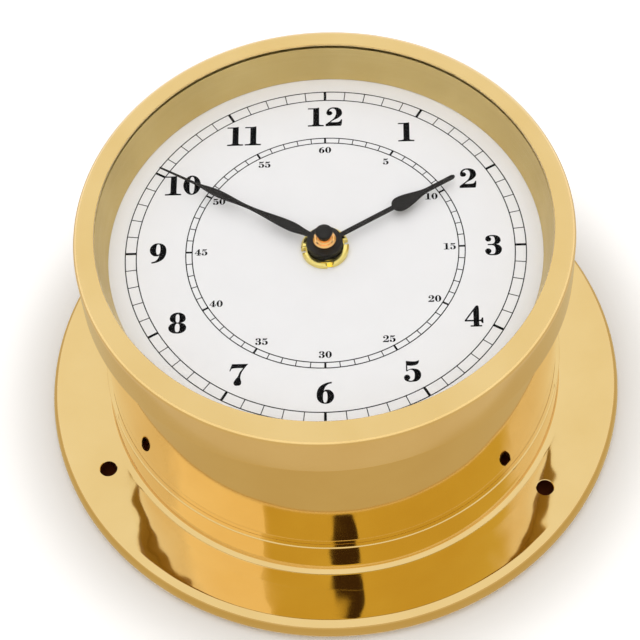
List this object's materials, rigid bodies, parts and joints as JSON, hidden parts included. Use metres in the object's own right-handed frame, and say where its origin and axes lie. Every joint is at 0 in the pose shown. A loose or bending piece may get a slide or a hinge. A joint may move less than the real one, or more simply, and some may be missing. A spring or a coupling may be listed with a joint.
{
  "type": "ship's clock",
  "caption": "Round brass ship's clock: drum case in a wall flange collar, rounded bezel over flat glass, white dial with black hands, battery quartz movement inside.",
  "frame": {"origin": "centre of the flange's rim, on the plane that meets the wall", "axes": "+Z out of the wall towards the reader, +Y to twelve o'clock, +X to three o'clock"},
  "size_m": [0.15, 0.15, 0.075],
  "materials": {
    "polished_brass": "turned and mirror polished, clear lacquered",
    "matte_brass": "fine matte, turned",
    "bright_brass": "turned, bright",
    "clear_glass": "clear float glass",
    "black_rubber": "matte",
    "white_dial": "satin white enamel with black print",
    "black_hands": "satin black enamel",
    "black_plastic": "moulded",
    "white_plastic": "moulded",
    "steel": "stamped and tinned",
    "copper_winding": "enamelled copper wire",
    "green_board": "glass fibre laminate with solder mask",
    "ferrite": "sintered",
    "battery_jacket": "plain coloured jacket, bare metal ends"
  },
  "bodies": {
    "wall_base": {"base_flange": "polished_brass"},
    "clock_case": {"barrel": "polished_brass", "bezel_ring": "polished_brass", "window_glass": "clear_glass", "glass_gasket": "black_rubber", "reflector_ring": "matte_brass", "dial_plate": "white_dial", "dial_washer": "black_rubber", "fixing_nut": "bright_brass", "movement_front_case": "black_plastic", "movement_back_cover": "black_plastic", "middle_plate": "white_plastic", "stator_plate": "steel", "coil_core": "steel", "coil_winding": "copper_winding", "circuit_board": "green_board", "quartz_crystal": "steel", "control_chip": "black_plastic", "positive_contact": "steel", "negative_contact": "steel"},
    "battery": {"battery_cell": "battery_jacket"},
    "hour_hand_group": {"hour_wheel": "white_plastic", "hour_hand_collet": "black_hands", "hour_hand": "black_hands"},
    "minute_hand_group": {"minute_arbor": "steel", "minute_hand": "black_hands", "minute_hand_bush": "bright_brass", "hand_cap": "black_hands"},
    "motion_wheel_group": {"motion_wheel": "white_plastic"},
    "setting_group": {"setting_knob": "white_plastic"},
    "centre_group": {"centre_wheel": "white_plastic"},
    "third_group": {"third_wheel": "white_plastic"},
    "seconds_group": {"seconds_wheel": "white_plastic"},
    "intermediate_group": {"intermediate_wheel": "white_plastic"},
    "rotor_group": {"rotor_pinion": "white_plastic", "rotor_magnet": "ferrite"}
  },
  "joints": [
    {"name": "case_pull", "type": "slide", "parent": "wall_base", "child": "clock_case", "axis": [0, 0, 1], "range_m": [0, 0.03]},
    {"name": "battery_lift", "type": "slide", "parent": "clock_case", "child": "battery", "axis": [0, 0, -1], "range_m": [0, 0.02]},
    {"name": "minute_turn", "type": "hinge", "parent": "clock_case", "child": "minute_hand_group", "pos_m": [0, 0, 0.068], "axis": [0, 0, -1], "continuous": true},
    {"name": "hour_turn", "type": "hinge", "parent": "clock_case", "child": "hour_hand_group", "pos_m": [0, 0, 0.066], "axis": [0, 0, -1], "continuous": true},
    {"name": "motion_turn", "type": "hinge", "parent": "clock_case", "child": "motion_wheel_group", "pos_m": [0.01182, 0.00208, 0.058], "axis": [0, 0, -1], "continuous": true},
    {"name": "setting_turn", "type": "hinge", "parent": "clock_case", "child": "setting_group", "pos_m": [0.01508, 0.01425, 0.05], "axis": [0, 0, -1], "continuous": true},
    {"name": "rotor_turn", "type": "hinge", "parent": "clock_case", "child": "rotor_group", "pos_m": [-0.01187, 0.00789, 0.05], "axis": [0, 0, -1], "continuous": true},
    {"name": "intermediate_turn", "type": "hinge", "parent": "clock_case", "child": "intermediate_group", "pos_m": [-0.009, 0, 0.05], "axis": [0, 0, -1], "continuous": true},
    {"name": "seconds_turn", "type": "hinge", "parent": "clock_case", "child": "seconds_group", "pos_m": [0, 0, 0.05], "axis": [0, 0, -1], "continuous": true},
    {"name": "third_turn", "type": "hinge", "parent": "clock_case", "child": "third_group", "pos_m": [-0.00197, 0.01117, 0.055], "axis": [0, 0, -1], "continuous": true},
    {"name": "centre_turn", "type": "hinge", "parent": "clock_case", "child": "centre_group", "pos_m": [0, 0, 0.056], "axis": [0, 0, -1], "continuous": true}
  ],
  "couplings": [
    {"joint": "hour_turn", "follows": "minute_turn", "ratio": 0.083333},
    {"joint": "motion_turn", "follows": "minute_turn", "ratio": -0.33333},
    {"joint": "setting_turn", "follows": "minute_turn", "ratio": 0.83333},
    {"joint": "intermediate_turn", "follows": "rotor_turn", "ratio": -0.16667},
    {"joint": "seconds_turn", "follows": "rotor_turn", "ratio": 0.033333},
    {"joint": "third_turn", "follows": "rotor_turn", "ratio": -0.0044444},
    {"joint": "centre_turn", "follows": "rotor_turn", "ratio": 0.00055556}
  ]
}
